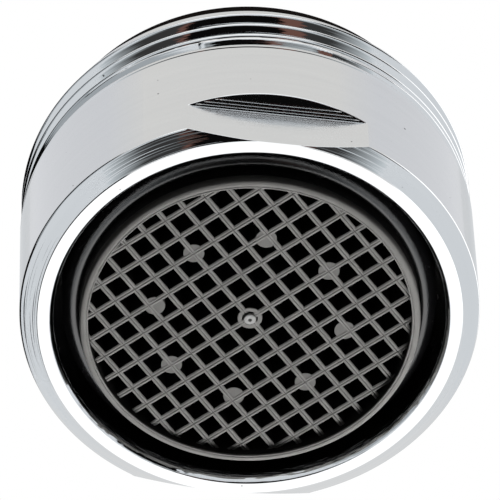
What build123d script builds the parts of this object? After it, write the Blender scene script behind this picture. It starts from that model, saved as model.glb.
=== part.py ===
"""Tap aerator: a threaded chrome housing with a drop-in insert that mixes air into the water.

Millimetres, +Z up, as it hangs in a spout: the outlet is at the bottom and the thread at the top.
The origin is on the axis, in the plane of the nozzle's end. The spanner flats face +Y and -Y.
Radii are worked out from the outside inwards, and heights from the nozzle's end upwards.
"""
import os
from math import ceil

from build123d import *

os.makedirs("parts", exist_ok=True)

# Housing: brass, turned and chromed, with an outside thread of 24 mm by 1 mm cut on the body's diameter
outside_diameter = 23.9
thread_depth = 0.61
thread_wall = 0.59
thread_length = 2.9
relief_width = 0.65
body_height = 7.75
housing_height = 12.25
lip_width = 0.35
lip_thickness = 0.75
lip_chamfer_width = 0.9
lip_chamfer_height = 0.6
flat_depth = 0.95
flat_height = 2.9
mouth_chamfer = 0.2

# Insert casing: black moulding, two tubes joined at the top with the air duct between them
skirt_wall = 0.4
duct_width = 0.53
tube_wall = 0.5
tube_rim_gap = 0.15
tube_rim_chamfer = 0.25
seat_width = 0.3
seat_height = 1.15
duct_roof = 1.3
window_count = 8
window_width = 4.0
window_height = 1.8

# Nozzle: grey moulding with a square cross grid, push-out pads and a gate mark in the middle
nozzle_wall = 0.45
nozzle_reach = 2.2
nozzle_edge_chamfer = 0.15
nozzle_flange_thickness = 0.7
nozzle_turn = 47.0
grid_recess = 0.5
grid_depth = 1.2
grid_pitch = 1.25
grid_rib = 0.33
smallest_cell_share = 0.2
pad_diameter = 1.1
pad_count = 8
pad_circle_cells = 4
gate_boss_diameter = 1.3
gate_pin_diameter = 0.65
gate_pin_proud = 0.15

# Mixing grids: two black discs on the nozzle, one turned against the other
mixer_thickness = 1.4
mixer_rim = 0.8
mixer_pitch = 2.2
mixer_rib = 0.45
mixer_turn = 45.0

# Jet splitter: cup with a ring of narrow slots and a cone, hung by its rim in the top of the casing
splitter_rim_width = 0.54
splitter_rim_thickness = 0.8
splitter_drop = 1.2
splitter_floor = 0.8
splitter_wall = 1.1
jet_count = 24
jet_width = 0.5
jet_length = 1.6
jet_edge_distance = 0.4
cone_edge_distance = 1.2
cone_height = 1.4

# Inlet sieve: a low hat of square mesh that snaps into the splitter
sieve_rim_thickness = 0.5
sieve_height = 1.85
sieve_slope_width = 0.8
sieve_wall = 0.5
sieve_snap_depth = 0.5
sieve_border = 0.6
sieve_pitch = 1.3
sieve_hole = 0.85

# Washer: black rubber, stands out of the housing's mouth
washer_thickness = 2.4
washer_width = 2.15
washer_sink = 0.95

# Fits, each the gap on the radius
insert_clearance = 0.1
nozzle_clearance = 0.07
stack_clearance = 0.06
sieve_clearance = 0.05
washer_clearance = 0.1

# Radii, from the outside inwards
body_radius = outside_diameter / 2
thread_root_radius = body_radius - thread_depth
bore_radius = thread_root_radius - thread_wall
insert_radius = bore_radius - insert_clearance
skirt_bore_radius = insert_radius - skirt_wall
tube_radius = skirt_bore_radius - duct_width
duct_radius = (tube_radius + skirt_bore_radius) / 2
tube_bore_radius = tube_radius - tube_wall
nozzle_hole_radius = tube_bore_radius - seat_width
nozzle_radius = nozzle_hole_radius - nozzle_clearance
nozzle_bore_radius = nozzle_radius - nozzle_wall
stack_radius = tube_bore_radius - stack_clearance
splitter_rim_radius = tube_bore_radius + splitter_rim_width
splitter_bore_radius = stack_radius - splitter_wall
jet_end_radius = splitter_bore_radius - jet_edge_distance
cone_radius = jet_end_radius - jet_length - cone_edge_distance
washer_bore_radius = insert_radius - washer_width
sieve_rim_radius = washer_bore_radius - washer_clearance
sieve_snap_radius = splitter_bore_radius - sieve_clearance
sieve_crown_radius = sieve_snap_radius - sieve_slope_width

# Heights, counted up from the nozzle's end
seat_z = nozzle_reach
ledge_z = seat_z - seat_height
lip_z = ledge_z - lip_thickness
relief_z = lip_z + body_height
thread_z = relief_z + relief_width
thread_top_z = thread_z + thread_length
inlet_z = lip_z + housing_height
tube_rim_z = ledge_z + tube_rim_gap
casing_top_z = inlet_z - washer_sink
duct_roof_z = casing_top_z - duct_roof
splitter_seat_z = casing_top_z - splitter_rim_thickness
splitter_floor_z = splitter_seat_z - splitter_drop
splitter_top_z = splitter_floor_z + splitter_floor
window_z = splitter_floor_z - window_height
lower_grid_z = seat_z + nozzle_flange_thickness
upper_grid_z = lower_grid_z + mixer_thickness
sieve_rim_z = casing_top_z + sieve_rim_thickness
sieve_top_z = casing_top_z + sieve_height


def cell_places(pitch, cell, radius):
    """Centres of the square cells that keep enough of their area inside a circle."""
    count = 2 * ceil(radius / pitch)
    reach = radius + cell * (0.5 - smallest_cell_share)
    return [place for place in GridLocations(pitch, pitch, count, count) if place.position.length < reach]


# Housing: a turned sleeve, then the two flats are milled from the outlet end
with BuildPart() as housing:
    with BuildSketch(Plane.XZ):
        with BuildLine():
            Polyline(
                (bore_radius - lip_width, lip_z),
                (body_radius - lip_chamfer_width, lip_z),
                (body_radius, lip_z + lip_chamfer_height),
                (body_radius, relief_z),
                (thread_root_radius, relief_z + thread_depth / 2),
                (thread_root_radius, thread_z - thread_depth / 2),
                (body_radius, thread_z),
                (body_radius, thread_top_z),
                (thread_root_radius, thread_top_z + thread_depth / 2),
                (thread_root_radius, inlet_z),
                (bore_radius + mouth_chamfer, inlet_z),
                (bore_radius, inlet_z - mouth_chamfer),
                (bore_radius, ledge_z),
                (bore_radius - lip_width, ledge_z),
                close=True,
            )
        make_face()
    revolve(axis=Axis.Z)
    with BuildSketch(Plane.XY.offset(lip_z)):
        Rectangle(2 * outside_diameter, 2 * outside_diameter)
        Rectangle(2 * outside_diameter, outside_diameter - 2 * flat_depth, mode=Mode.SUBTRACT)
    extrude(amount=flat_height, mode=Mode.SUBTRACT)
housing.part.label = "housing"
export_step(housing.part, "parts/housing.step")


# Insert casing: one moulding whose skirt stands on the lip, with air windows in its inner tube
with BuildPart() as insert_casing:
    with BuildSketch(Plane.XZ):
        with BuildLine():
            Polyline(
                (nozzle_hole_radius + tube_rim_chamfer, tube_rim_z),
                (tube_radius - tube_rim_chamfer, tube_rim_z),
                (tube_radius, tube_rim_z + tube_rim_chamfer),
                (tube_radius, duct_roof_z),
                (skirt_bore_radius, duct_roof_z),
                (skirt_bore_radius, ledge_z),
                (insert_radius, ledge_z),
                (insert_radius, casing_top_z),
                (splitter_rim_radius + stack_clearance, casing_top_z),
                (splitter_rim_radius + stack_clearance, splitter_seat_z),
                (tube_bore_radius, splitter_seat_z),
                (tube_bore_radius, seat_z),
                (nozzle_hole_radius, seat_z),
                (nozzle_hole_radius, tube_rim_z + tube_rim_chamfer),
                close=True,
            )
        make_face()
    revolve(axis=Axis.Z)
    with BuildSketch(Plane.XY.offset(window_z)):
        with PolarLocations(nozzle_hole_radius, window_count):
            Rectangle(duct_radius - nozzle_hole_radius, window_width, align=(Align.MIN, Align.CENTER))
    extrude(amount=window_height, mode=Mode.SUBTRACT)
insert_casing.part.label = "insert_casing"
export_step(insert_casing.part, "parts/insert_casing.step")


# Nozzle: a ring with a flange, the cross grid across its bore, round pads and the gate mark
nozzle_plane = Plane.XY.rotated((0, 0, nozzle_turn))
grid_cell = grid_pitch - grid_rib
grid_cells = cell_places(grid_pitch, grid_cell, nozzle_bore_radius)
with BuildPart() as outlet_nozzle:
    with BuildSketch(Plane.XZ):
        with BuildLine():
            Polyline(
                (nozzle_bore_radius, 0),
                (nozzle_radius - nozzle_edge_chamfer, 0),
                (nozzle_radius, nozzle_edge_chamfer),
                (nozzle_radius, seat_z),
                (stack_radius, seat_z),
                (stack_radius, lower_grid_z),
                (nozzle_bore_radius, lower_grid_z),
                close=True,
            )
        make_face()
    revolve(axis=Axis.Z)
    with BuildSketch(nozzle_plane.offset(grid_recess)):
        Circle(nozzle_bore_radius + nozzle_wall / 2)
        with Locations(*grid_cells):
            Rectangle(grid_cell, grid_cell, mode=Mode.SUBTRACT)
        with PolarLocations(pad_circle_cells * grid_pitch, pad_count):
            Circle(pad_diameter / 2)
        Circle(gate_boss_diameter / 2)
    extrude(amount=grid_depth)
    with BuildSketch(nozzle_plane.offset(grid_recess)):
        Circle(gate_pin_diameter / 2)
    extrude(amount=-gate_pin_proud)
outlet_nozzle.part.label = "outlet_nozzle"
export_step(outlet_nozzle.part, "parts/outlet_nozzle.step")


# Mixing grids: two discs of coarse square mesh, stacked on the nozzle's flange
mixer_cell = mixer_pitch - mixer_rib
mixer_cells = cell_places(mixer_pitch, mixer_cell, stack_radius - mixer_rim)
with BuildPart() as lower_grid:
    with BuildSketch(Plane.XY.offset(lower_grid_z)):
        Circle(stack_radius)
    extrude(amount=mixer_thickness)
    with BuildSketch(Plane.XY.offset(lower_grid_z).rotated((0, 0, nozzle_turn + mixer_turn))):
        with Locations(*mixer_cells):
            Rectangle(mixer_cell, mixer_cell)
        Circle(stack_radius - mixer_rim, mode=Mode.INTERSECT)
    extrude(amount=mixer_thickness, mode=Mode.SUBTRACT)
lower_grid.part.label = "lower_grid"
export_step(lower_grid.part, "parts/lower_grid.step")

with BuildPart() as upper_grid:
    with BuildSketch(Plane.XY.offset(upper_grid_z)):
        Circle(stack_radius)
    extrude(amount=mixer_thickness)
    with BuildSketch(Plane.XY.offset(upper_grid_z).rotated((0, 0, nozzle_turn))):
        with Locations(*mixer_cells):
            Rectangle(mixer_cell, mixer_cell)
        Circle(stack_radius - mixer_rim, mode=Mode.INTERSECT)
    extrude(amount=mixer_thickness, mode=Mode.SUBTRACT)
upper_grid.part.label = "upper_grid"
export_step(upper_grid.part, "parts/upper_grid.step")


# Jet splitter: a shallow cup with a hanging rim, a ring of slots and a cone that spreads the water
with BuildPart() as jet_splitter:
    with BuildSketch(Plane.XZ):
        with BuildLine():
            Polyline(
                (0, splitter_floor_z),
                (stack_radius, splitter_floor_z),
                (stack_radius, splitter_seat_z),
                (splitter_rim_radius, splitter_seat_z),
                (splitter_rim_radius, casing_top_z),
                (splitter_bore_radius, casing_top_z),
                (splitter_bore_radius, splitter_top_z),
                (cone_radius, splitter_top_z),
                (0, splitter_top_z + cone_height),
                close=True,
            )
        make_face()
    revolve(axis=Axis.Z)
    with BuildSketch(Plane.XY.offset(splitter_floor_z)):
        with PolarLocations(jet_end_radius, jet_count):
            Rectangle(jet_length, jet_width, align=(Align.MAX, Align.CENTER))
    extrude(amount=splitter_floor, mode=Mode.SUBTRACT)
jet_splitter.part.label = "jet_splitter"
export_step(jet_splitter.part, "parts/jet_splitter.step")


# Inlet sieve: a flat crown of square mesh, a rim on the splitter and a snap skirt inside it
sieve_cells = cell_places(sieve_pitch, sieve_hole, sieve_crown_radius - sieve_border)
with BuildPart() as inlet_sieve:
    with BuildSketch(Plane.XZ):
        with BuildLine():
            Polyline(
                (0, sieve_top_z - sieve_wall),
                (sieve_crown_radius - sieve_wall / 2, sieve_top_z - sieve_wall),
                (sieve_snap_radius - sieve_wall, casing_top_z),
                (sieve_snap_radius - sieve_wall, casing_top_z - sieve_snap_depth),
                (sieve_snap_radius, casing_top_z - sieve_snap_depth),
                (sieve_snap_radius, casing_top_z),
                (sieve_rim_radius, casing_top_z),
                (sieve_rim_radius, sieve_rim_z),
                (sieve_snap_radius, sieve_rim_z),
                (sieve_crown_radius, sieve_top_z),
                (0, sieve_top_z),
                close=True,
            )
        make_face()
    revolve(axis=Axis.Z)
    with BuildSketch(Plane.XY.offset(sieve_top_z - sieve_wall)):
        with Locations(*sieve_cells):
            Rectangle(sieve_hole, sieve_hole)
        Circle(sieve_crown_radius - sieve_border, mode=Mode.INTERSECT)
    extrude(amount=sieve_wall, mode=Mode.SUBTRACT)
inlet_sieve.part.label = "inlet_sieve"
export_step(inlet_sieve.part, "parts/inlet_sieve.step")


# Washer: a flat rubber ring on the casing and the splitter's rim
with BuildPart() as sealing_washer:
    with BuildSketch(Plane.XY.offset(casing_top_z)):
        Circle(insert_radius)
        Circle(washer_bore_radius, mode=Mode.SUBTRACT)
    extrude(amount=washer_thickness)
sealing_washer.part.label = "sealing_washer"
export_step(sealing_washer.part, "parts/sealing_washer.step")
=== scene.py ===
# %% [markdown]
# # A tap aerator, dressed in Blender
# The aerator screws into a spout with its outlet down. Its solids come packed as a fixed frame, and this
# lesson puts finer pieces and real finishes over them, in the same place and at the same size.
# Blender works in metres here, so sizes are written in millimetres and multiplied by `mm`.

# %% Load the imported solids
from math import cos, pi, radians, sin

import bmesh
import bpy
from mathutils import Matrix, Vector


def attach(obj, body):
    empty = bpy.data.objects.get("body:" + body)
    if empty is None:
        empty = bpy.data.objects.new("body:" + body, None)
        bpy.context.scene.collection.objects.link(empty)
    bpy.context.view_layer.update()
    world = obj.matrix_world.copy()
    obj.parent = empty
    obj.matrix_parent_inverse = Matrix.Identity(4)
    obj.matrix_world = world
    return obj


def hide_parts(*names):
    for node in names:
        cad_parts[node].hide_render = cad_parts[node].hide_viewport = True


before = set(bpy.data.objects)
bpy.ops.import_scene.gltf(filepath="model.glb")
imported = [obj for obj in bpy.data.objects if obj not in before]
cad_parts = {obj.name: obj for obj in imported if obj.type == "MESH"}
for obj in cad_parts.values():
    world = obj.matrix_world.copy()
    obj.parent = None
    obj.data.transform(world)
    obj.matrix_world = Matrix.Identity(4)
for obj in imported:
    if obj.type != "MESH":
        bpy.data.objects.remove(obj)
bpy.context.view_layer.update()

mm = 0.001
scene = bpy.context.scene
print("solids:", ", ".join(sorted(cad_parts)))

# %% [markdown]
# ## Rounded profiles
# The sleeve, the casing, the nozzle and the washer are all round, so each starts as a profile that is
# turned about the axis. Sharp edges catch no light, so the corners of a profile get a small round. An
# extra point on either side of the round keeps the shading of the broad faces flat.

# %% Profile helpers
round_steps = 6
hold_length = 0.02
reach_share, hold_share = 0.45, 0.04


def corner_points(before, corner, after, radius):
    """The points of one rounded corner, from its first holding point to its last."""
    middle = Vector(corner)
    to_start = Vector(before) - middle
    to_end = Vector(after) - middle
    reach = min(radius, reach_share * to_start.length, reach_share * to_end.length)
    hold_start = min(hold_length, hold_share * to_start.length)
    hold_end = min(hold_length, hold_share * to_end.length)
    first = middle + to_start.normalized() * reach
    last = middle + to_end.normalized() * reach
    points = [middle + to_start.normalized() * (reach + hold_start)]
    for step in range(round_steps + 1):
        share = step / round_steps
        points.append(first.lerp(middle, share).lerp(middle.lerp(last, share), share))
    points.append(middle + to_end.normalized() * (reach + hold_end))
    return points


def rounded_profile(corners, closed=True):
    """Corners are (radius, height, edge round) in millimetres."""
    points = []
    count = len(corners)
    for index, (radius, height, edge) in enumerate(corners):
        if edge and (closed or 0 < index < count - 1):
            before = corners[index - 1][:2]
            after = corners[(index + 1) % count][:2]
            points.extend(corner_points(before, (radius, height), after, edge))
        else:
            points.append(Vector((radius, height)))
    return points


print("steps in a rounded corner:", round_steps)

# %% [markdown]
# ## Turning
# Blender's Screw modifier could turn a profile, but it gives every angle the same one. The sleeve has
# spanner flats, so here a function gives the profile at each angle, and a plain ring answers with the
# same points every time. There is one column of points for each degree.

# %% Turning helpers
column_count = 360
merge_distance = 0.0005 * mm
sliver_length = 0.00005 * mm


def turned_shape(profile_at, closed=True, skip=None):
    """Turns the profile given for each angle. skip(column, row) leaves a face out."""
    shape = bmesh.new()
    columns = []
    for column in range(column_count):
        angle = 2 * pi * column / column_count
        columns.append([
            shape.verts.new((radius * mm * cos(angle), radius * mm * sin(angle), height * mm))
            for radius, height in profile_at(angle)
        ])
    rows = len(columns[0])
    for column in range(column_count):
        here, there = columns[column], columns[(column + 1) % column_count]
        for row in range(rows if closed else rows - 1):
            if skip and skip(column, row):
                continue
            above = (row + 1) % rows
            shape.faces.new((here[row], there[row], there[above], here[above]))
    return shape, columns


def finish_shape(shape):
    """Merges doubled points and turns the faces outwards."""
    bmesh.ops.remove_doubles(shape, verts=shape.verts, dist=merge_distance)
    bmesh.ops.dissolve_degenerate(shape, edges=shape.edges, dist=sliver_length)
    bmesh.ops.recalc_face_normals(shape, faces=shape.faces)


def turned_ring(corners):
    """A closed ring that is the same at every angle."""
    points = rounded_profile(corners)
    shape, _ = turned_shape(lambda angle: points)
    finish_shape(shape)
    return shape


def join_shape(shape, part):
    """Adds a part to a shape and frees the part."""
    mesh = bpy.data.meshes.new("part")
    part.to_mesh(mesh)
    part.free()
    shape.from_mesh(mesh)
    bpy.data.meshes.remove(mesh)


print("columns in a turn:", column_count)


# %% [markdown]
# ## From a shape to a piece
# A finished shape becomes an object with its finishes. Shading is smooth, but an edge that bends more
# than a given angle stays hard. On the thread the raised edges are rounded over in real life, so they
# may stay soft there. Then the piece is attached to the body that carries it, and the solid that it
# stands for is hidden.

# %% Piece helper
def make_piece(name, shape, finishes, node, sharp=30, soft_levels=None):
    """Makes the object, attaches it to the root body and hides the solid it replaces. Raised edges
    between the soft levels are never hard.
    """
    for face in shape.faces:
        face.smooth = True
    for edge in shape.edges:
        middle = (edge.verts[0].co.z + edge.verts[1].co.z) / 2 / mm
        soft = soft_levels and soft_levels[0] < middle < soft_levels[1] and edge.is_convex
        edge.smooth = soft or edge.calc_face_angle(0.0) < radians(sharp)
    open_edges = sum(edge.is_boundary for edge in shape.edges)
    mesh = bpy.data.meshes.new(name)
    shape.to_mesh(mesh)
    shape.free()
    for finish in finishes:
        mesh.materials.append(finish)
    piece = bpy.data.objects.new(name, mesh)
    scene.collection.objects.link(piece)
    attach(piece, "root")
    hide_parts(node)
    print(name, "faces:", len(mesh.polygons), "open edges:", open_edges)


print("piece helper ready")


# %% [markdown]
# ## Node helpers
# Geometry trees and shader trees are built by the same few functions. `add` places a node, sets its
# options and fills its inputs, from a plain value or from another node's output. `calc` does the same
# for one step of arithmetic, `spread` maps one range onto another, and `mixed` blends two colours.

# %% Node helpers
def add(tree, kind, inputs=None, **options):
    node = tree.nodes.new(kind)
    for option, value in options.items():
        setattr(node, option, value)
    for socket, value in (inputs or {}).items():
        if isinstance(value, bpy.types.NodeSocket):
            tree.links.new(value, node.inputs[socket])
        else:
            node.inputs[socket].default_value = value
    return node


def calc(tree, operation, *values):
    inputs = dict(enumerate(values))
    return add(tree, "ShaderNodeMath", inputs, operation=operation).outputs[0]


def spread(tree, value, low, high, from_low=0.3, from_high=0.7):
    """Maps a range, as a rule the middle of a noise, onto another one."""
    ends = {"From Min": from_low, "From Max": from_high, "To Min": low, "To Max": high}
    return add(tree, "ShaderNodeMapRange", {"Value": value, **ends}).outputs["Result"]


def mixed(tree, factor, first, second):
    """Blends two colours, each a plain one or another node's output."""
    inputs = {"Factor": factor}
    for label, colour in (("A", first), ("B", second)):
        inputs[label] = (*colour, 1.0) if isinstance(colour, tuple) else colour
    return add(tree, "ShaderNodeMix", inputs, data_type="RGBA").outputs["Result"]


def object_place(tree):
    return add(tree, "ShaderNodeTexCoord").outputs["Object"]


def vector(tree, *values):
    return add(tree, "ShaderNodeCombineXYZ", dict(enumerate(values))).outputs[0]


def parts(tree, place):
    return add(tree, "ShaderNodeSeparateXYZ", {0: place}).outputs


def length(tree, place):
    return add(tree, "ShaderNodeVectorMath", {0: place}, operation="LENGTH").outputs["Value"]


def new_group(name, kind, inputs, outputs):
    """Inputs are (label, kind of socket, default) and outputs are (label, kind of socket)."""
    tree = bpy.data.node_groups.new(name, kind)
    for label, socket, default in inputs:
        item = tree.interface.new_socket(label, in_out="INPUT", socket_type="NodeSocket" + socket)
        if default is not None:
            item.default_value = default
    for label, socket in outputs:
        tree.interface.new_socket(label, in_out="OUTPUT", socket_type="NodeSocket" + socket)
    return tree, tree.nodes.new("NodeGroupInput").outputs, tree.nodes.new("NodeGroupOutput").inputs


print("node helpers ready")

# %% [markdown]
# ## Tool marks, plating pits and mould grain
# Three effects return in several finishes. A lathe or a milling cutter leaves fine parallel marks, chrome
# plating has a few dark pits, and a moulded part has a fine grain with faint clouds of gloss. They could
# be drawn in every material again, but as shader groups they are built once, and each puts out only what
# changes over the surface.

# %% Tool marks group
marks_tree, marks_in, marks_out = new_group(
    "tool_marks", "ShaderNodeTree",
    [("Across", "Float", 0.0), ("Along", "Vector", None), ("Spacing", "Float", 0.06 * mm)],
    [("Fine", "Float"), ("Broad", "Float")],
)
marks_step = calc(marks_tree, "DIVIDE", marks_in["Across"], marks_in["Spacing"])
along_x, along_y, _ = parts(marks_tree, marks_in["Along"])
for label, stretch, detail in (("Fine", 1.0, 1.0), ("Broad", 0.13, 2.0)):
    place = vector(marks_tree, along_x, along_y, calc(marks_tree, "MULTIPLY", marks_step, stretch))
    noise = add(
        marks_tree, "ShaderNodeTexNoise",
        {"Vector": place, "Scale": 1.0, "Detail": detail, "Roughness": 0.6},
    )
    marks_tree.links.new(noise.outputs["Fac"], marks_out[label])
print("group:", marks_tree.name)

# %% Plating pits group
pits_tree, pits_in, pits_out = new_group(
    "plating_pits", "ShaderNodeTree",
    [("Cell Size", "Float", 1.4 * mm), ("Pit Size", "Float", 0.05)],
    [("Pit", "Float")],
)
pits_scale = calc(pits_tree, "DIVIDE", 1.0, pits_in["Cell Size"])
pits_cells = add(
    pits_tree, "ShaderNodeTexVoronoi",
    {"Vector": object_place(pits_tree), "Scale": pits_scale, "Randomness": 1.0},
).outputs
pits_pick = add(pits_tree, "ShaderNodeSeparateColor", {0: pits_cells["Color"]}).outputs[0]
pits_limit = calc(pits_tree, "MULTIPLY", pits_pick, pits_in["Pit Size"])
pits_found = calc(pits_tree, "LESS_THAN", pits_cells["Distance"], pits_limit)
pits_tree.links.new(pits_found, pits_out["Pit"])
print("group:", pits_tree.name)

# %% Mould grain group
grain_tree, grain_in, grain_out = new_group(
    "mould_grain", "ShaderNodeTree",
    [("Grain Size", "Float", 0.05 * mm), ("Cloud Size", "Float", 1.5 * mm)],
    [("Grain", "Float"), ("Cloud", "Float")],
)
grain_place = object_place(grain_tree)
for label, size_label, detail in (("Grain", "Grain Size", 2.0), ("Cloud", "Cloud Size", 4.0)):
    scale = calc(grain_tree, "DIVIDE", 1.0, grain_in[size_label])
    noise = add(
        grain_tree, "ShaderNodeTexNoise",
        {"Vector": grain_place, "Scale": scale, "Detail": detail, "Roughness": 0.55},
    )
    grain_tree.links.new(noise.outputs["Fac"], grain_out[label])
print("group:", grain_tree.name)


# %% [markdown]
# ## Chrome
# Chrome is a mirror: its looks come from what it reflects and from its marks. One plain mirror would look
# like plastic foil, so each way of cutting gets its own finish. The turned faces carry rings, the milled
# flats carry straight lines, the chamfer and the lip's bore are cut more roughly, and the thread is
# streaked. The spacing, the stretch and the depth of the marks are in millimetres.

# %% Material helpers
def bare_material(name):
    material = bpy.data.materials.new(name)
    material.use_nodes = True
    material.node_tree.nodes.clear()
    return material, material.node_tree


def shaded_material(name):
    material, tree = bare_material(name)
    shader = add(tree, "ShaderNodeBsdfPrincipled")
    add(tree, "ShaderNodeOutputMaterial", {"Surface": shader.outputs[0]})
    return material, tree, shader.inputs


def set_relief(tree, shader, height, strength, depth):
    bump = add(tree, "ShaderNodeBump", {"Height": height, "Strength": strength, "Distance": depth * mm})
    tree.links.new(bump.outputs[0], shader["Normal"])


print("material helpers ready")

# %% Chrome finishes
radius_share = 0.7
broad_weight = 2.0
chrome_dark, chrome_light, pit_tone = (0.61, 0.62, 0.63), (0.66, 0.67, 0.675), (0.12, 0.12, 0.12)


def chrome(name, spacing, stretch, rough, relief, depth=0.01, milled=False):
    """Chrome with marks round the axis, or straight along X where it is milled."""
    material, tree, shader = shaded_material(name)
    x, y, z = parts(tree, object_place(tree))
    if milled:
        across = calc(tree, "ADD", z, y)
        along = vector(tree, calc(tree, "DIVIDE", x, stretch * mm))
    else:
        level_place = vector(tree, x, y)
        across = calc(tree, "ADD", z, calc(tree, "MULTIPLY", length(tree, level_place), radius_share))
        scaled = {0: level_place, "Scale": 1.0 / (stretch * mm)}
        along = add(tree, "ShaderNodeVectorMath", scaled, operation="SCALE").outputs[0]
    marks = add(
        tree, "ShaderNodeGroup",
        {"Across": across, "Along": along, "Spacing": spacing * mm}, node_tree=marks_tree,
    ).outputs
    pits = add(tree, "ShaderNodeGroup", node_tree=pits_tree).outputs["Pit"]
    tone = mixed(tree, marks["Broad"], chrome_dark, chrome_light)
    tree.links.new(mixed(tree, pits, tone, pit_tone), shader["Base Color"])
    tree.links.new(spread(tree, marks["Broad"], *rough), shader["Roughness"])
    height = calc(tree, "ADD", marks["Fine"], calc(tree, "MULTIPLY", marks["Broad"], broad_weight))
    set_relief(tree, shader, height, relief, depth)
    shader["Metallic"].default_value = 1.0
    return material


turned_chrome = chrome("turned_chrome", 0.05, 8, (0.03, 0.08), relief=0.02)
streaked_chrome = chrome("streaked_chrome", 0.10, 6, (0.02, 0.06), relief=0.4)
chamfer_chrome = chrome("chamfer_chrome", 0.10, 9, (0.02, 0.06), relief=1.0, depth=0.015)
milled_chrome = chrome("milled_chrome", 0.06, 4, (0.15, 0.22), relief=0.2, milled=True)
cutter_chrome = chrome("cutter_chrome", 0.10, 6, (0.03, 0.08), relief=0.3, milled=True)
bored_chrome = chrome("bored_chrome", 0.12, 1.6, (0.03, 0.10), relief=1.0, depth=0.035)
housing_finishes = [
    turned_chrome, streaked_chrome, milled_chrome, cutter_chrome, bored_chrome, chamfer_chrome,
]
print("finishes:", ", ".join(material.name for material in housing_finishes))


# %% [markdown]
# ## Plastics and rubber
# The mouldings and the washer are satin, so they need their grain and small changes of gloss to look like
# more than a flat colour. The nozzle's grey is painted darker between two heights: this is painted shade,
# in the depth of its cells and on the ring's inner wall, because the lamp alone leaves these walls paler
# than they are on the real one.

# %% Plastic and rubber finishes
grain_depth = 0.01
# The colour of the painted shade.
painted_shade_tone = (0.018, 0.017, 0.016)


def moulded(name, dark, light, rough, relief, gloss=0.5, grain_size=0.05, painted_shade_heights=None):
    """A moulded finish. The optional pair of heights gives the range over which its colour is painted
    dark, as painted shade.
    """
    material, tree, shader = shaded_material(name)
    grain = add(tree, "ShaderNodeGroup", {"Grain Size": grain_size * mm}, node_tree=grain_tree).outputs
    tone = mixed(tree, grain["Cloud"], dark, light)
    # Painted shade: between the two heights the colour goes dark.
    if painted_shade_heights:
        height = parts(tree, object_place(tree))[2]
        depth = spread(tree, height, 0.0, 1.0, painted_shade_heights[0] * mm, painted_shade_heights[1] * mm)
        tone = mixed(tree, depth, tone, painted_shade_tone)
    tree.links.new(tone, shader["Base Color"])
    tree.links.new(spread(tree, grain["Cloud"], *rough), shader["Roughness"])
    set_relief(tree, shader, grain["Grain"], relief, grain_depth)
    shader["Specular IOR Level"].default_value = gloss
    return material


nozzle_look = {
    "dark": (0.205, 0.202, 0.195), "light": (0.295, 0.29, 0.28),
    "rough": (0.38, 0.5), "relief": 0.15, "gloss": 0.04,
}
# grey_plastic is painted darker above the grid's face, as painted shade deep in the cells of the grid.
grey_plastic = moulded("grey_plastic", **nozzle_look, painted_shade_heights=(0.505, 0.60))
# This finish is painted darker just inside the ring's end, as painted shade on the ring's inner wall.
painted_shade_wall = moulded("painted_shade_wall", **nozzle_look, painted_shade_heights=(0.04, 0.16))
gate_gloss = moulded(
    "gate_gloss", (0.24, 0.24, 0.235), (0.32, 0.32, 0.31), (0.1, 0.2), relief=0.05, gloss=1.0
)
black_plastic = moulded(
    "black_plastic", (0.002, 0.002, 0.0022), (0.004, 0.004, 0.0044), (0.2, 0.28), relief=0.05, gloss=1.0
)
inner_plastic = moulded(
    "inner_plastic", (0.002, 0.002, 0.002), (0.005, 0.005, 0.005), (0.4, 0.55), relief=0.1, gloss=0.03
)
pale_plastic = moulded(
    "pale_plastic", (0.62, 0.62, 0.6), (0.74, 0.74, 0.71), (0.4, 0.55), relief=0.12
)
black_rubber = moulded(
    "black_rubber", (0.003, 0.0016, 0.0012), (0.007, 0.004, 0.0032), (0.55, 0.8),
    relief=0.6, gloss=0.03, grain_size=0.08,
)
print("finishes:", grey_plastic.name, black_plastic.name, pale_plastic.name, black_rubber.name)

# %% [markdown]
# ## The screw thread
# The thread is a ridge that climbs 1 mm a turn. A boolean with a swept ridge would leave broken edges,
# so a Geometry Nodes tree bends a flat grid into the thread: one side of the grid follows the helix and
# the other runs across one ridge. Heights are held between the two ends of the thread, so the strip
# closes on plain rings there.

# %% Thread inputs and strip
across_rows = 35
thread_sizes = (
    "Root Radius", "Depth", "Pitch", "Lowest", "Highest", "Start Height", "Crest Round",
    "Collar Level", "Collar Height", "Run-out Start",
)
thread_tree, thread_in, thread_out = new_group(
    "screw_thread", "GeometryNodeTree",
    [
        *[(label, "Float", 0.0) for label in thread_sizes],
        ("Turns", "Int", 5),
        ("Steps", "Int", 360),
        ("Material", "Material", None),
    ],
    [("Geometry", "Geometry")],
)


def thread_calc(operation, *values):
    """One step of arithmetic. A text stands for the tree's input of that name."""
    sockets = [thread_in[value] if isinstance(value, str) else value for value in values]
    return calc(thread_tree, operation, *sockets)


strip_length = thread_calc("MULTIPLY_ADD", "Turns", "Steps", 1.0)
strip = add(
    thread_tree, "GeometryNodeMeshGrid",
    {"Size X": 1.0, "Size Y": 1.0, "Vertices X": strip_length, "Vertices Y": across_rows},
)
strip_place = add(thread_tree, "GeometryNodeInputPosition").outputs[0]
strip_x, strip_y, _ = parts(thread_tree, strip_place)
turn = thread_calc("MULTIPLY", thread_calc("ADD", strip_x, 0.5), "Turns")
ridge = thread_calc("ADD", strip_y, 0.5)
ridge_turn = thread_calc("ADD", turn, ridge)
climb = thread_calc("MULTIPLY_ADD", ridge_turn, "Pitch", "Start Height")
level = add(
    thread_tree, "ShaderNodeClamp",
    {"Value": climb, "Min": thread_in["Lowest"], "Max": thread_in["Highest"]},
).outputs[0]
print("thread strip rows:", across_rows)

# %% [markdown]
# ### Ridge and run-out
# Across the strip the ridge has a root, two flanks and a rounded crest, and it fades at the inlet end. At
# its foot the cutter was drawn back: a plain collar fills the lowest groove, and below it the metal falls
# away on a cone. The cone is wider on one part of the round, and a short notch on it is steeper. A noise
# could break up the edge as well, but these forms mirror the light in long clear bands.

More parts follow.
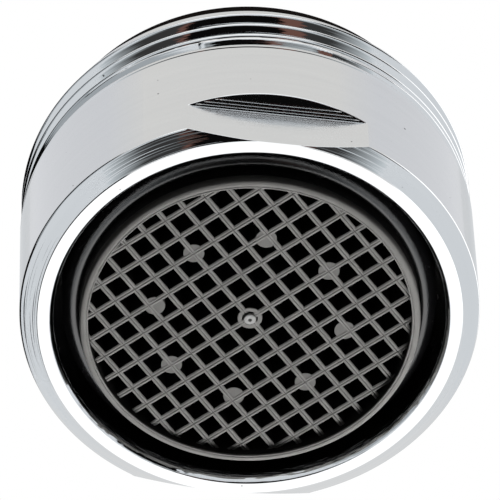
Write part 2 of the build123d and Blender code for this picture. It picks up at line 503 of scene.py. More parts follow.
# %% Thread ridge
flank_share, root_share = 0.36, 0.11
end_slope = 2.0
from_root = thread_calc("MINIMUM", ridge, thread_calc("SUBTRACT", 1.0, ridge))
flank = thread_calc("MULTIPLY", thread_calc("SUBTRACT", from_root, root_share), 1 / flank_share)
flank = thread_calc("MAXIMUM", thread_calc("MULTIPLY", flank, "Depth"), 0.0)
tooth = thread_calc("SMOOTH_MIN", flank, "Depth", "Crest Round")
below_high = thread_calc("SUBTRACT", "Highest", level)
lead_high = thread_calc("MINIMUM", thread_calc("MULTIPLY", below_high, end_slope), "Depth")
tooth = thread_calc("SMOOTH_MIN", tooth, lead_high, "Crest Round")
print("ridge nodes so far:", len(thread_tree.nodes))

# %% Thread run-out
low_slope, wide_slope, collar_slope = 1.3, 0.84, 5.0
fade_from, fade_to = 0.5, 0.75
notch_slope, notch_start, notch_rise, notch_end, notch_fade = 0.65, 0.083, 0.012, 0.115, 0.05
run_out_round = 0.03
below_collar = thread_calc("SUBTRACT", "Collar Level", level)
collar = thread_calc("MULTIPLY", below_collar, collar_slope)
collar = thread_calc("MINIMUM", collar, "Collar Height")
run_out_turn = thread_calc("FRACT", thread_calc("SUBTRACT", turn, "Run-out Start"))
cone_slope = spread(thread_tree, run_out_turn, low_slope, wide_slope, fade_from, fade_to)
notch_in = spread(thread_tree, run_out_turn, 0.0, 1.0, notch_start, notch_start + notch_rise)
notch_out = spread(thread_tree, run_out_turn, notch_slope, 0.0, notch_end, notch_end + notch_fade)
cone_slope = thread_calc("MULTIPLY_ADD", notch_in, notch_out, cone_slope)
cone = thread_calc("MULTIPLY", thread_calc("SUBTRACT", level, "Lowest"), cone_slope)
tooth = thread_calc("MAXIMUM", tooth, collar)
tooth = thread_calc("SMOOTH_MIN", tooth, cone, run_out_round * mm)
tooth = thread_calc("MAXIMUM", tooth, 0.0)
print("run-out nodes so far:", len(thread_tree.nodes))


# %% [markdown]
# ### Bending the strip
# Every point of the strip now has a turn, a level and a height of the tooth, so one Set Position node
# bends the grid round the axis. Neighbouring turns share their border points, which are merged. The tree
# ends in real geometry with a material, and its result is kept as a plain mesh.

# %% Bend the strip
join_distance = 0.001 * mm


def end_tree(tree, geometry, inputs, outputs):
    """Both trees end in Realize Instances and Set Material, because the export drops instances."""
    real = add(tree, "GeometryNodeRealizeInstances", {"Geometry": geometry}).outputs[0]
    finish = {"Geometry": real, "Material": inputs["Material"]}
    painted = add(tree, "GeometryNodeSetMaterial", finish)
    tree.links.new(painted.outputs[0], outputs["Geometry"])
    print("tree:", tree.name, "nodes:", len(tree.nodes))


tooth_radius = thread_calc("ADD", tooth, "Root Radius")
turn_angle = thread_calc("MULTIPLY", turn, 2 * pi)
bent_x = thread_calc("MULTIPLY", tooth_radius, thread_calc("COSINE", turn_angle))
bent_y = thread_calc("MULTIPLY", tooth_radius, thread_calc("SINE", turn_angle))
bent_place = vector(thread_tree, bent_x, bent_y, level)
bent = add(
    thread_tree, "GeometryNodeSetPosition",
    {"Geometry": strip.outputs["Mesh"], "Position": bent_place},
)
merged = add(
    thread_tree, "GeometryNodeMergeByDistance",
    {"Geometry": bent.outputs[0], "Distance": join_distance},
)
end_tree(thread_tree, merged.outputs[0], thread_in, thread_out)


# %% Run a tree and keep its mesh
def grown_mesh(name, tree, values):
    """Runs a geometry tree on an empty object and returns the result as a plain mesh."""
    carrier = bpy.data.objects.new(name, bpy.data.meshes.new(name + "_seed"))
    scene.collection.objects.link(carrier)
    modifier = carrier.modifiers.new(tree.name, "NODES")
    modifier.node_group = tree
    sockets = {
        item.name: item.identifier for item in tree.interface.items_tree if item.in_out == "INPUT"
    }
    for label, value in values.items():
        modifier[sockets[label]] = value
    bpy.context.view_layer.update()
    graph = bpy.context.evaluated_depsgraph_get()
    mesh = bpy.data.meshes.new_from_object(carrier.evaluated_get(graph), depsgraph=graph)
    carrier.modifiers.remove(modifier)
    bpy.data.objects.remove(carrier)
    print(name, "grown, faces:", len(mesh.polygons))
    return mesh


# %% [markdown]
# ## The chromed housing
# The housing is one turned brass sleeve: an inward lip that carries the insert, a chamfer, the body, a
# relief groove and the thread. Two flats for a spanner are milled into its lower end, each with a
# shoulder that shows as a dark lens from below. At a given angle the flat simply limits the radius, so
# the profile function can cut it exactly, without a boolean.

# %% Housing sizes
body_radius = 11.95
bore_radius, lip_radius, lip_face_radius, lip_bore = 10.75, 10.4, 11.05, 10.174
lip_level, ledge_level, chamfer_level, relief_level, inlet_level = 0.30, 1.05, 0.90, 8.20, 12.48
step_level, step_width = 0.36, 0.035
funnel_radius, funnel_middle, funnel_level = 10.27, 0.45, 0.60
lip_round, funnel_round, throat_round = 0.07, 0.04, 0.05
edge_round, chamfer_round, milled_round, mouth_chamfer = 0.06, 0.09, 0.02, 0.2
line_level, line_half, line_depth = 7.93, 0.05, 0.07
flat_distance, shoulder_level, shoulder_slope = 11.0, 3.1, 0.39
cutter_lines, tread_width, tread_edge, edge_reserve = (0.42, 0.25, 0.10), 0.07, 0.01, 1.1
least_share = 0.01
thread_depth, thread_pitch, thread_turns, crest_round = 0.61, 1.0, 5, 0.22
root_radius = body_radius - thread_depth
thread_low, thread_top, thread_start = 8.458, 11.60, 7.04
thread_high = thread_top + thread_depth / 2
collar_level, collar_height, run_out_start = 9.12, 0.54, -109.5
print("housing:", 2 * body_radius, "mm across,", 2 * flat_distance, "mm across the flats")


# %% [markdown]
# ### The profile at each angle
# The shoulder slopes up and outwards from the flat, and a cutter left narrow level treads on it, parallel
# to the flat. A share says how much of a step outwards at this angle goes towards the flat. The outside
# comes first, then the lip with its small funnel, and then the bore up to the inlet.

# %% Housing profile
def flat_share(angle):
    return max(abs(sin(angle)), least_share)


def shoulder_height(radius, share):
    return shoulder_level + max(0.0, radius * share - flat_distance) * shoulder_slope


def shoulder_corners(angle):
    """The sloping shoulder from the outside inwards, with its treads."""
    share = flat_share(angle)
    chord = min(body_radius, flat_distance / share)
    outer = max(chord, body_radius - edge_reserve * edge_round)

    def tread_corner(place, lift):
        radius = min(outer, (flat_distance + place) / share)
        return radius, shoulder_height(radius, share) + lift, 0

    corners = [(body_radius, shoulder_height(body_radius, share), edge_round)]
    for place in cutter_lines:
        room = min(1.0, max(0.0, (outer * share - flat_distance - place) / tread_width))
        corners.append(tread_corner(place + tread_width, 0))
        corners.append(tread_corner(place, room * tread_width * shoulder_slope))
        corners.append(tread_corner(place - tread_edge, 0))
    corners.append((chord, shoulder_height(chord, share), 0))
    return corners


def housing_profile(angle):
    """From the foot of the thread down the outside and up the bore to the thread's top."""
    cut_radius = min(body_radius, flat_distance / flat_share(angle))
    face_radius = min(lip_face_radius, cut_radius)
    slope = (chamfer_level - step_level) / (body_radius - lip_face_radius)
    cut_level = step_level + max(0.0, cut_radius - lip_face_radius) * slope
    corners = [
        (root_radius, thread_low, 0),
        (body_radius, relief_level, edge_round),
        (body_radius, line_level + line_half, 0),
        (body_radius - line_depth, line_level, 0),
        (body_radius, line_level - line_half, 0),
        *shoulder_corners(angle),
        (cut_radius, cut_level, chamfer_round if cut_radius == body_radius else milled_round),
        (face_radius, step_level, 0),
        (face_radius - step_width, lip_level, 0),
        (lip_radius, lip_level, lip_round),
        (funnel_radius, funnel_middle, funnel_round),
        (lip_bore, funnel_level, throat_round),
        (lip_bore, ledge_level, 0),
        (bore_radius, ledge_level, 0),
        (bore_radius, inlet_level - mouth_chamfer, 0),
        (bore_radius + mouth_chamfer, inlet_level, edge_round),
        (root_radius, inlet_level, edge_round),
        (root_radius, thread_high, 0),
    ]
    return rounded_profile(corners, closed=False)


print("points in the housing's profile:", len(housing_profile(0.0)))

# %% [markdown]
# ### Sleeve, thread and finishes together
# The turned sleeve is open where the thread goes, and the grown thread closes it, so the two are joined
# and their doubled points merged. Each face then gets the finish of the tool that cut it. Painting a mask
# would do that too, but here the place and the direction of a face already tell the tool.

# %% Housing
flat_facing, shoulder_facing, chamfer_lowest, chamfer_highest = 0.9999, -0.5, -0.9, -0.8


def housing_finish(face):
    """The finish of one face, from its place and its direction."""
    middle = face.calc_center_median() / mm
    radius = middle.xy.length
    facing = face.normal
    if abs(facing.y) > flat_facing and middle.z < shoulder_level:
        return milled_chrome
    on_shoulder = facing.z < shoulder_facing and abs(middle.y) > flat_distance
    if on_shoulder and chamfer_level < middle.z < relief_level:
        return cutter_chrome
    if radius < lip_radius and middle.z < ledge_level:
        return bored_chrome
    on_chamfer = chamfer_lowest < facing.z < chamfer_highest and radius > lip_face_radius
    if on_chamfer and step_level < middle.z < chamfer_level:
        return chamfer_chrome
    return streaked_chrome if middle.z > relief_level else turned_chrome


thread_mesh = grown_mesh("screw_thread", thread_tree, {
    "Root Radius": root_radius * mm,
    "Depth": thread_depth * mm,
    "Pitch": thread_pitch * mm,
    "Lowest": thread_low * mm,
    "Highest": thread_high * mm,
    "Start Height": thread_start * mm,
    "Crest Round": crest_round * mm,
    "Collar Level": collar_level * mm,
    "Collar Height": collar_height * mm,
    "Run-out Start": run_out_start / 360,
    "Turns": thread_turns,
    "Steps": column_count,
    "Material": turned_chrome,
})
housing_shape, _ = turned_shape(housing_profile, closed=False)
housing_shape.from_mesh(thread_mesh)
finish_shape(housing_shape)
for face in housing_shape.faces:
    face.material_index = housing_finishes.index(housing_finish(face))
make_piece(
    "chrome_housing", housing_shape, housing_finishes, "housing",
    sharp=20, soft_levels=(thread_low, thread_high),
)

# %% [markdown]
# ## The insert's casing
# The casing is a black moulding of two tubes joined at the top. Only its bowed lower rim shows, as a dark
# ring with a soft highlight between the chrome lip and the nozzle. Eight windows let air in from the
# duct. A boolean could cut them, but a gap in both walls closed by four small jambs keeps the mesh clean.

# %% Casing profile
insert_radius, skirt_bore, tube_radius, tube_bore, nozzle_hole = 10.65, 10.25, 9.72, 9.22, 8.92
casing_top, duct_roof_level, splitter_seat, nozzle_seat, rim_level = 11.60, 10.30, 10.80, 2.20, 1.20
window_low, window_high, window_count, window_half_width = 7.80, 9.60, 8, 12
rim_low_radius, rim_bow, rim_steps = 9.08, 0.35, 20
recess_radius, skirt_round, top_round = 9.82, 0.05, 0.08
rim_corners = []
for step in range(rim_steps + 1):
    rim_radius = nozzle_hole + (tube_radius - nozzle_hole) * step / rim_steps
    rim_corners.append((rim_radius, rim_level + (rim_radius - rim_low_radius) ** 2 / (2 * rim_bow), 0))
casing_points = rounded_profile([
    (tube_radius, window_low, 0),
    (tube_radius, window_high, 0),
    (tube_radius, duct_roof_level, 0),
    (skirt_bore, duct_roof_level, 0),
    (skirt_bore, ledge_level, skirt_round),
    (insert_radius, ledge_level, skirt_round),
    (insert_radius, casing_top, top_round),
    (recess_radius, casing_top, 0),
    (recess_radius, splitter_seat, 0),
    (tube_bore, splitter_seat, 0),
    (tube_bore, window_high, 0),
    (tube_bore, window_low, 0),
    (tube_bore, nozzle_seat, 0),
    (nozzle_hole, nozzle_seat, 0),
    *rim_corners,
])
print("points in the casing's profile:", len(casing_points))

# %% Casing
window_step = column_count // window_count
same_point = 1e-6


def row_of(radius, level):
    corner = Vector((radius, level))
    return next(row for row, point in enumerate(casing_points) if (point - corner).length < same_point)


outer_low, outer_high = row_of(tube_radius, window_low), row_of(tube_radius, window_high)
inner_low, inner_high = row_of(tube_bore, window_low), row_of(tube_bore, window_high)


def in_window(column):
    return (column + window_half_width) % window_step < 2 * window_half_width


def window_gap(column, row):
    return in_window(column) and row in (outer_low, inner_high)


casing_shape, casing_rings = turned_shape(lambda angle: casing_points, skip=window_gap)
for column in range(column_count):
    here, there = casing_rings[column], casing_rings[(column + 1) % column_count]
    if in_window(column):
        for inner, outer in ((inner_low, outer_low), (inner_high, outer_high)):
            casing_shape.faces.new((here[inner], there[inner], there[outer], here[outer]))
    if in_window(column) != in_window(column - 1):
        casing_shape.faces.new((here[inner_low], here[outer_low], here[outer_high], here[inner_high]))
finish_shape(casing_shape)
make_piece("black_casing", casing_shape, [black_plastic], "insert_casing")

# %% [markdown]
# ## The cross grid
# The nozzle ends in a square grid. Every cell has its own frame, and a fine groove runs along the middle
# of each rib where two frames meet. One cell is modelled as a tile, and a Geometry Nodes tree sets the
# tile on every place of a square lattice inside a circle. The same tree makes the sieve at the inlet,
# with its own tile and spacing.

# %% Grid tree
lattice_tree, lattice_in, lattice_out = new_group(
    "tile_lattice", "GeometryNodeTree",
    [
        ("Tile", "Object", None),
        ("Pitch", "Float", 1.0 * mm),
        ("Count", "Int", 14),
        ("Reach", "Float", 9.0 * mm),
        ("Turn", "Float", 0.0),
        ("Material", "Material", None),
    ],
    [("Geometry", "Geometry")],
)
lattice_gaps = calc(lattice_tree, "SUBTRACT", lattice_in["Count"], 1.0)
lattice_side = calc(lattice_tree, "MULTIPLY", lattice_in["Pitch"], lattice_gaps)
lattice_sizes = {"Size X": lattice_side, "Size Y": lattice_side}
lattice_counts = {"Vertices X": lattice_in["Count"], "Vertices Y": lattice_in["Count"]}
lattice = add(lattice_tree, "GeometryNodeMeshGrid", {**lattice_sizes, **lattice_counts})
lattice_place = add(lattice_tree, "GeometryNodeInputPosition").outputs[0]
from_axis = length(lattice_tree, lattice_place)
inside = add(
    lattice_tree, "FunctionNodeCompare", {"A": from_axis, "B": lattice_in["Reach"]}, operation="LESS_THAN"
).outputs[0]
tile = add(lattice_tree, "GeometryNodeObjectInfo", {"Object": lattice_in["Tile"]})
tiles = add(
    lattice_tree, "GeometryNodeInstanceOnPoints",
    {"Points": lattice.outputs["Mesh"], "Selection": inside, "Instance": tile.outputs["Geometry"]},
)
tiles_real = add(lattice_tree, "GeometryNodeRealizeInstances", {"Geometry": tiles.outputs[0]})
tiles_joined = add(
    lattice_tree, "GeometryNodeMergeByDistance",
    {"Geometry": tiles_real.outputs[0], "Distance": join_distance},
)
tiles_turn = vector(lattice_tree, 0.0, 0.0, lattice_in["Turn"])
tiles_turned = add(
    lattice_tree, "GeometryNodeTransform", {"Geometry": tiles_joined.outputs[0], "Rotation": tiles_turn}
)
end_tree(lattice_tree, tiles_turned.outputs[0], lattice_in, lattice_out)


# %% [markdown]
# ### Tiles and a round edge
# A tile is a square frame of nested rings that is open along its border, so that neighbours close each
# other once the tree has merged their points. The lattice is then cut to a circle by one plane after
# another, and the cut ends of the ribs are filled. They lie hidden inside the ring.

# %% Tile and trimming helpers
trim_sides = 72
square_signs = ((-1, -1), (1, -1), (1, 1), (-1, 1))


def frame_tile(name, steps, back_level):
    """A square frame. steps are (half width, level) rings in millimetres, from the border to the hole."""
    shape = bmesh.new()
    back_steps = [(steps[-1][0], back_level), (steps[0][0], back_level)]
    rings = []
    for half, level in steps + back_steps:
        rings.append([
            shape.verts.new((half * mm * side_x, half * mm * side_y, level * mm))
            for side_x, side_y in square_signs
        ])
    for ring, nested in zip(rings, rings[1:]):
        for corner in range(4):
            after = (corner + 1) % 4
            shape.faces.new((ring[corner], nested[corner], nested[after], ring[after]))
    mesh = bpy.data.meshes.new(name)
    shape.to_mesh(mesh)
    shape.free()
    return bpy.data.objects.new(name, mesh)


def trim_round(shape, radius):
    """Cuts away what lies outside a circle about the axis."""
    for side in range(trim_sides):
        angle = 2 * pi * side / trim_sides
        direction = Vector((cos(angle), sin(angle), 0))
        everything = shape.verts[:] + shape.edges[:] + shape.faces[:]
        bmesh.ops.bisect_plane(
            shape, geom=everything, plane_co=direction * radius * mm, plane_no=direction, clear_outer=True
        )
    open_edges = [edge for edge in shape.edges if edge.is_boundary]
    bmesh.ops.holes_fill(shape, edges=open_edges, sides=0)


def lattice_shape(name, tile, values, radius):
    mesh = grown_mesh(name, lattice_tree, {"Tile": tile, **values})
    shape = bmesh.new()
    shape.from_mesh(mesh)
    trim_round(shape, radius)
    bpy.data.objects.remove(tile)
    return shape


print("planes that trim a lattice:", trim_sides)

# %% [markdown]
# ## The nozzle
# The grey nozzle is one moulding: a thin ring with a flange inside the casing, the cross grid, eight
# round pads where the mould pushed it out, and a gate mark in the middle with a glossy pin. The grid
# lies half a millimetre inside the ring, and a fine line runs round the ring's end.

# %% Nozzle grid and ring
nozzle_radius, nozzle_bore, flange_radius, flange_top = 8.85, 8.40, 9.16, 2.90
grid_level, grid_back, grid_pitch, grid_rib, nozzle_turn = 0.50, 1.70, 1.25, 0.33, 47.0
grid_count, grid_overlap = 16, 0.2
groove_half, groove_depth, crest_width, crest_drop = 0.035, 0.05, 0.07, 0.045
end_line, end_line_half, end_line_depth = 8.50, 0.03, 0.04
end_radius, slope_radius, slope_rise, wall_level = 8.63, 8.79, 0.08, 0.30
bore_round, end_round, slope_round, wall_round = 0.06, 0.05, 0.08, 0.10
cell_half = (grid_pitch - grid_rib) / 2
grid_tile = frame_tile("grid_tile", [
    (grid_pitch / 2, grid_level + groove_depth),
    (grid_pitch / 2 - groove_half, grid_level),
    (cell_half + crest_width, grid_level),
    (cell_half, grid_level + crest_drop),
], grid_back)
nozzle_shape = lattice_shape("cross_grid", grid_tile, {
    "Pitch": grid_pitch * mm,
    "Count": grid_count,
    "Reach": (nozzle_radius + cell_half) * mm,
    "Turn": radians(nozzle_turn),
    "Material": grey_plastic,
}, nozzle_bore + grid_overlap)
join_shape(nozzle_shape, turned_ring([
    (nozzle_bore, 0.0, bore_round),
    (end_line - end_line_half, 0.0, 0),
    (end_line, end_line_depth, 0),
    (end_line + end_line_half, 0.0, 0),
    (end_radius, 0.0, end_round),
    (slope_radius, slope_rise, slope_round),
    (nozzle_radius, wall_level, wall_round),
    (nozzle_radius, nozzle_seat, 0),
    (flange_radius, nozzle_seat, 0),
    (flange_radius, flange_top, 0),
    (nozzle_bore, flange_top, 0),
]))
print("nozzle faces so far:", len(nozzle_shape.faces))


# %% [markdown]
# ### Pads and gate mark
# The pads and the gate mark are small turned plugs that stand in the grid. The gate mark has a raised pin
# with a dimple in its end and a narrow moat round its foot, because the plastic was torn off there. A
# plug ends in a tiny flat face at its axis, which avoids a pole of thin triangles.

# %% Plug helper
plug_sides = 40


def add_plug(shape, corners, place):
    """A small turned plug, closed at the axis, added to a shape."""
    rings = []
    for radius, level in rounded_profile(corners, closed=False):
        ring = []
        for side in range(plug_sides):
            angle = 2 * pi * side / plug_sides
            point = Vector((radius * mm * cos(angle), radius * mm * sin(angle), level * mm))
            ring.append(shape.verts.new(place + point))
        rings.append(ring)
    for ring, nested in zip(rings, rings[1:]):
        for side in range(plug_sides):
            after = (side + 1) % plug_sides
            shape.faces.new((ring[side], ring[after], nested[after], nested[side]))
    shape.faces.new(rings[0])
    shape.faces.new(rings[-1])


print("sides of a plug:", plug_sides)

# %% Pads
plug_core = 0.02
pad_radius, pad_circle, pad_count, pad_recess, pad_round = 0.55, 5.0, 8, 0.035, 0.03
pad_level = grid_level + pad_recess
plug_shape = bmesh.new()
for pad in range(pad_count):
    angle = radians(nozzle_turn + 360 * pad / pad_count)
    place = Vector((pad_circle * mm * cos(angle), pad_circle * mm * sin(angle), 0))
    add_plug(plug_shape, [
        (plug_core, pad_level, 0),
        (pad_radius, pad_level, pad_round),
        (pad_radius, grid_back, 0),
        (plug_core, grid_back, 0),
    ], place)
print("pads:", pad_count)

# %% Gate mark
boss_radius, boss_recess, boss_round = 0.65, 0.015, 0.05
pin_radius, pin_level, pin_round = 0.33, 0.35, 0.09
dimple_core, dimple_floor, dimple_rim, dimple_depth = 0.01, 0.05, 0.09, 0.13
dimple_round, dimple_rim_round = 0.02, 0.03
moat_radius, moat_rim, moat_depth, moat_round = 0.40, 0.42, 0.08, 0.02
boss_level = grid_level + boss_recess
add_plug(plug_shape, [
    (dimple_core, pin_level + dimple_depth, 0),
    (dimple_floor, pin_level + dimple_depth, dimple_round),
    (dimple_rim, pin_level, dimple_rim_round),
    (pin_radius, pin_level, pin_round),
    (pin_radius, boss_level + moat_depth, 0),
    (moat_radius, boss_level + moat_depth, 0),
    (moat_rim, boss_level, moat_round),
    (boss_radius, boss_level, boss_round),
    (boss_radius, grid_back, 0),
    (plug_core, grid_back, 0),
], Vector())
bmesh.ops.recalc_face_normals(plug_shape, faces=plug_shape.faces)
join_shape(nozzle_shape, plug_shape)
print("nozzle faces with plugs:", len(nozzle_shape.faces))

# %% Nozzle
near_surface, wall_gap, wall_facing = 0.01, 0.03, 0.1
nozzle_finishes = [grey_plastic, gate_gloss, painted_shade_wall]
for face in nozzle_shape.faces:
    middle = face.calc_center_median() / mm
    radius = middle.xy.length
    on_pin = radius < pin_radius + near_surface and middle.z < grid_level - near_surface
    # The ring's inner wall gets the finish with painted shade.
    on_shaded_wall = abs(radius - nozzle_bore) < wall_gap and abs(face.normal.z) < wall_facing
    finish = gate_gloss if on_pin else painted_shade_wall if on_shaded_wall else grey_plastic
    face.material_index = nozzle_finishes.index(finish)
make_piece("grey_nozzle", nozzle_shape, nozzle_finishes, "outlet_nozzle")

# %% [markdown]
# ## The sieve at the inlet
# From above, a pale sieve sits inside the washer. It is a low hat: a turned rim and slope with a crown of
# square mesh, made by the grid tree with a plainer tile that has only a small bevel round its hole.

# %% Sieve
snap_radius, crown_radius, sieve_rim_radius, mesh_radius = 8.01, 7.21, 8.4, 6.61
sieve_top, sieve_rim_top, sieve_wall, snap_level = 13.45, 12.10, 0.5, 11.10
sieve_pitch, sieve_hole, sieve_bevel, sieve_count, sieve_overlap = 1.3, 0.85, 0.06, 12, 0.1
mesh_round, rim_round, crown_round = 0.05, 0.1, 0.2
sieve_tile = frame_tile("sieve_tile", [
    (sieve_pitch / 2, sieve_top),
    (sieve_hole / 2 + sieve_bevel, sieve_top),
    (sieve_hole / 2, sieve_top - sieve_bevel),
], sieve_top - sieve_wall)
sieve_shape = lattice_shape("sieve_mesh", sieve_tile, {
    "Pitch": sieve_pitch * mm,
    "Count": sieve_count,
    "Reach": crown_radius * mm,
    "Turn": 0.0,
    "Material": pale_plastic,
}, mesh_radius + sieve_overlap)
join_shape(sieve_shape, turned_ring([
    (mesh_radius, sieve_top, mesh_round),
    (mesh_radius, sieve_top - sieve_wall, 0),
    (crown_radius - sieve_wall / 2, sieve_top - sieve_wall, 0),
    (snap_radius - sieve_wall, casing_top, 0),
    (snap_radius - sieve_wall, snap_level, 0),
    (snap_radius, snap_level, 0),
    (snap_radius, casing_top, 0),
    (sieve_rim_radius, casing_top, 0),
    (sieve_rim_radius, sieve_rim_top, rim_round),
    (snap_radius, sieve_rim_top, rim_round),
    (crown_radius, sieve_top, crown_round),
]))
make_piece("pale_sieve", sieve_shape, [pale_plastic], "inlet_sieve")

# %% [markdown]
# ## The washer
# A black rubber washer stands out of the threaded end and seals against the spout. It is a turned ring
# with soft edges, and only its outer edge at the spout is sharper.

# %% Washer
washer_bore, washer_top, washer_round, outer_round = 8.5, 14.0, 0.15, 0.04
washer_shape = turned_ring([
    (washer_bore, casing_top, washer_round),
    (insert_radius, casing_top, washer_round),
    (insert_radius, washer_top, outer_round),
    (washer_bore, washer_top, washer_round),
])
make_piece("rubber_washer", washer_shape, [black_rubber], "sealing_washer")

# %% [markdown]
# ## Solids that stay
# The mixing grids and the jet splitter lie inside, behind the cross grid. Their solids already have the
# right form, so they only get a black moulded finish.

# %% Finish the inner solids
for node in ("lower_grid", "upper_grid", "jet_splitter"):
    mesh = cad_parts[node].data
    mesh.materials.clear()
    mesh.materials.append(inner_plastic)
print("inner solids finished with", inner_plastic.name)

# %% [markdown]
# ## The white surroundings
# Camera and mirror rays see the world at a strength of 1, which is white, a little cooler low down in a
# mirror. Only the light that it throws on the plastics is weaker, and it comes mostly from above, because
# the outlet is in the shade of the aerator's own body. One background could not do both, so Light Path
# picks between two.

# %% World
shade_height, light_height = -0.1, 0.2
shade_strength, light_strength = 0.03, 0.75
cool_height = -0.15
white, cool_white = (1.0, 1.0, 1.0), (0.93, 0.965, 1.0)
world = bpy.data.worlds.new("white_studio")
scene.world = world
world.use_nodes = True
world_tree = world.node_tree
world_tree.nodes.clear()
rays = add(world_tree, "ShaderNodeLightPath").outputs
mirrored = calc(world_tree, "GREATER_THAN", rays["Is Glossy Ray"], rays["Diffuse Depth"])
seen = calc(world_tree, "MAXIMUM", rays["Is Camera Ray"], mirrored)
seen = calc(world_tree, "MAXIMUM", seen, rays["Is Transmission Ray"])
sky_place = add(world_tree, "ShaderNodeTexCoord").outputs["Generated"]
sky_height = parts(world_tree, sky_place)[2]
sky_strength = spread(
    world_tree, sky_height, shade_strength, light_strength, shade_height, light_height
)
soft_light = add(world_tree, "ShaderNodeBackground", {"Color": (*white, 1.0), "Strength": sky_strength})
low_sky = spread(world_tree, sky_height, 0.0, 1.0, 0.0, cool_height)
mirror_tone = mixed(world_tree, calc(world_tree, "MULTIPLY", mirrored, low_sky), white, cool_white)
backdrop = add(world_tree, "ShaderNodeBackground", {"Color": mirror_tone, "Strength": 1.0})
sky = add(world_tree, "ShaderNodeMixShader", {0: seen, 1: soft_light.outputs[0], 2: backdrop.outputs[0]})
add(world_tree, "ShaderNodeOutputWorld", {"Surface": sky.outputs[0]})
print("world:", world.name)


# %% [markdown]
# ## Floor
# The camera looks up at the outlet, so the floor under the aerator has to be seen through from below. It
# shows only to a camera above it, with the aerator's shadow, and fades into the white further out.

# %% Floor
floor_side, floor_drop = 1.2, 0.2
floor_fade_start, floor_fade_end = 0.05, 0.25
floor_tone = (0.9, 0.9, 0.9)


def flat_sheet(name, width, height, material):
    half_width, half_height = width / 2, height / 2
    corners = [(half_width * side_x, half_height * side_y, 0) for side_x, side_y in square_signs]
    mesh = bpy.data.meshes.new(name)
    mesh.from_pydata(corners, [], [(0, 1, 2, 3)])
    mesh.materials.append(material)
    sheet = bpy.data.objects.new(name, mesh)
    scene.collection.objects.link(sheet)
    return sheet


def show_where(tree, cover, paint):
    """Shows the paint where the cover is 1, and what lies behind it where the cover is 0."""
    clear = add(tree, "ShaderNodeBsdfTransparent")
    mix = add(tree, "ShaderNodeMixShader", {0: cover, 1: clear.outputs[0], 2: paint.outputs[0]})
    add(tree, "ShaderNodeOutputMaterial", {"Surface": mix.outputs[0]})


floor_material, floor_tree = bare_material("pale_floor")
floor_rays = add(floor_tree, "ShaderNodeLightPath").outputs["Is Camera Ray"]
floor_back = add(floor_tree, "ShaderNodeNewGeometry").outputs["Backfacing"]
floor_distance = length(floor_tree, object_place(floor_tree))
floor_fade = spread(floor_tree, floor_distance, 1.0, 0.0, floor_fade_start, floor_fade_end)
floor_front = calc(floor_tree, "SUBTRACT", 1.0, floor_back)
floor_shown = calc(floor_tree, "MULTIPLY", floor_rays, floor_front)
floor_shown = calc(floor_tree, "MULTIPLY", floor_shown, floor_fade)
floor_paint = add(floor_tree, "ShaderNodeBsdfDiffuse", {"Color": (*floor_tone, 1.0)})
show_where(floor_tree, floor_shown, floor_paint)
floor = flat_sheet("floor", floor_side, floor_side, floor_material)
floor.location.z = -floor_drop * mm
print("floor laid")

# %% [markdown]
# ## Camera
# The photo was taken from below and in front with a long lens. Its angles, distance and focal length were
# fitted to the round edges in the photo. A sensor shift could frame the aerator, but that stays in every
# other view, so the camera is simply aimed a little beside the middle of the lip.

# %% Camera
lip_centre = Vector((0, 0, lip_level * mm))
camera_side, camera_elevation, camera_roll = -99.5, -55.41, -2.195
camera_distance, near_limit = 0.3471, 0.01
focal_pixels, frame_pixels, sensor_width = 6699.5, 500.0, 36.0
lip_below_middle = 70.67


def toward(side, elevation):
    """A direction from the aerator, in degrees round the axis and above the level."""
    around, above = radians(side), radians(elevation)
    return Vector((cos(above) * cos(around), cos(above) * sin(around), sin(above)))


def facing_back(direction):
    return direction.to_track_quat("Z", "Y").to_matrix()


to_camera = toward(camera_side, camera_elevation)
camera_place = lip_centre + to_camera * camera_distance
roll = Matrix.Rotation(radians(camera_roll), 3, "Z")
picture_up = (facing_back(to_camera) @ roll).col[1]
aim = lip_centre + picture_up * (camera_distance * lip_below_middle / focal_pixels)
camera = bpy.data.objects.new("camera", bpy.data.cameras.new("camera"))
camera.data.sensor_width = sensor_width
camera.data.lens = focal_pixels / frame_pixels * sensor_width
camera.data.clip_start = near_limit
camera_turn = facing_back(camera_place - aim) @ roll
camera.matrix_world = Matrix.Translation(camera_place) @ camera_turn.to_4x4()
scene.collection.objects.link(camera)
scene.camera = camera
print("camera lens:", round(camera.data.lens, 1), "mm")


# %% [markdown]
# ## Cards that only the chrome sees
# Chrome in a white room would be white all over. Photographers hang dark and pale cards round a shiny
# object, and so does this cell: each card is an oval that only mirror rays see and that fades out towards
# its edge. The dark ones draw the lens on the flat, the bands of the thread and the chamfer, and the pale
# ones set the tones of the body and the lip. Lamps could not draw such bands without lighting the rest.

# %% Card helper
def mirror_card(name, stops, strength, size, direction, distance, fade):
    """An oval card. stops are (share of its radius, colour), and fade is the share where it thins out."""
    material, tree = bare_material(name)
    width, height = size
    stretched = {0: object_place(tree), 1: (2 / width, 2 / height, 0)}
    edge = length(tree, add(tree, "ShaderNodeVectorMath", stretched, operation="MULTIPLY").outputs[0])
    ramp = add(tree, "ShaderNodeValToRGB", {"Fac": edge})
    while len(ramp.color_ramp.elements) < len(stops):
        ramp.color_ramp.elements.new(0.5)
    for element, (share, colour) in zip(ramp.color_ramp.elements, stops):
        element.position = share
        element.color = (*colour, 1.0)
    glow = add(tree, "ShaderNodeEmission", {"Color": ramp.outputs["Color"], "Strength": strength})
    scattered = add(tree, "ShaderNodeLightPath").outputs["Diffuse Depth"]
    show_where(tree, calc(tree, "SUBTRACT", spread(tree, edge, 1.0, 0.0, fade, 1.0), scattered), glow)
    card = flat_sheet(name, width, height, material)
    card_place = Matrix.Translation(lip_centre + direction * distance)
    card.matrix_world = card_place @ facing_back(direction).to_4x4()
    card.visible_camera = False
    card.visible_diffuse = False
    card.visible_shadow = False
    card.visible_transmission = False


def plain(colour):
    return [(0.0, colour), (1.0, colour)]


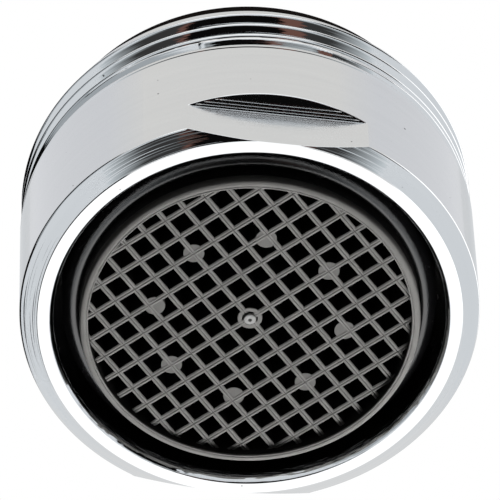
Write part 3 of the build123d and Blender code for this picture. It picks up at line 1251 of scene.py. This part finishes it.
print("card helper ready")

# %% Cards
black, brown, coal = (0.004, 0.004, 0.004), (0.20, 0.10, 0.08), (0.05, 0.05, 0.05)
pale_blue, warm_white, cool_pale = (0.85, 0.92, 0.96), (0.945, 0.935, 0.915), (0.87, 0.88, 0.91)
far_grey, blue_grey = (0.70, 0.72, 0.74), (0.50, 0.54, 0.57)
shade_stops = [(0.0, coal), (0.62, coal), (1.0, pale_blue)]
# A row has name, colours, strength, size, degrees (from the camera's side, above level), distance, fade.
cards = (
    ("black_card", plain(black), 1.0, (0.197, 0.513), (0, -70), 0.38, 0.97),
    ("brown_card", plain(brown), 1.0, (0.26, 0.36), (4, -64), 0.40, 0.97),
    ("shade_card", shade_stops, 1.0, (0.70, 0.46), (0, -66), 0.42, 0.95),
    ("left_card", plain(black), 1.0, (1.1, 0.80), (-95, 12), 0.5, 0.9),
    ("grey_card", plain(blue_grey), 1.0, (0.95, 0.22), (-60, -14), 0.45, 0.7),
    ("top_card", plain(black), 1.0, (0.34, 0.34), (0, 90), 0.4, 0.8),
    ("edge_card", plain(brown), 1.0, (0.42, 0.05), (130, 46), 0.45, 0.8),
    ("right_dark", plain(black), 1.0, (0.34, 0.29), (50, -17), 0.45, 0.8),
    ("right_card", plain(white), 1.9, (0.8, 0.5), (97, 20), 0.5, 0.8),
    ("front_card", plain(white), 1.6, (0.8, 0.55), (0, 14), 0.55, 0.8),
    ("warm_card", plain(warm_white), 1.0, (2.0, 0.6), (0, 60), 0.6, 0.6),
    ("left_pale", plain(cool_pale), 1.0, (0.9, 0.30), (-100, 57), 0.6, 0.4),
    ("right_pale", plain(cool_pale), 1.0, (0.9, 0.30), (100, 57), 0.6, 0.4),
    ("far_card", plain(far_grey), 1.0, (1.0, 0.7), (180, 52), 0.6, 0.4),
    ("key_card", plain(white), 1.7, (0.9, 0.9), (180, -55), 0.55, 0.9),
)
for name, stops, strength, size, (side, elevation), distance, fade in cards:
    mirror_card(name, stops, strength, size, toward(camera_side + side, elevation), distance, fade)
print("cards:", len(cards))

# %% [markdown]
# ## Lamp
# One soft lamp stands low on the far right and lights the grid from below, so the ribs are brighter than
# the walls of their cells. The chrome already has its cards, so mirror rays don't see the lamp.

# %% Lamp
lamp_power, lamp_size, lamp_distance = 3.2, 0.3, 0.5
lamp_side, lamp_elevation = 55, -50
lamp_direction = toward(lamp_side, lamp_elevation)
lamp_light = bpy.data.lights.new("key_lamp", "AREA")
lamp_light.shape = "DISK"
lamp_light.energy = lamp_power
lamp_light.size = lamp_size
key_lamp = bpy.data.objects.new("key_lamp", lamp_light)
key_lamp.location = lip_centre + lamp_direction * lamp_distance
key_lamp.rotation_euler = facing_back(lamp_direction).to_euler()
key_lamp.visible_glossy = False
scene.collection.objects.link(key_lamp)
scene.view_settings.view_transform = "Standard"
print("lamp:", key_lamp.name)
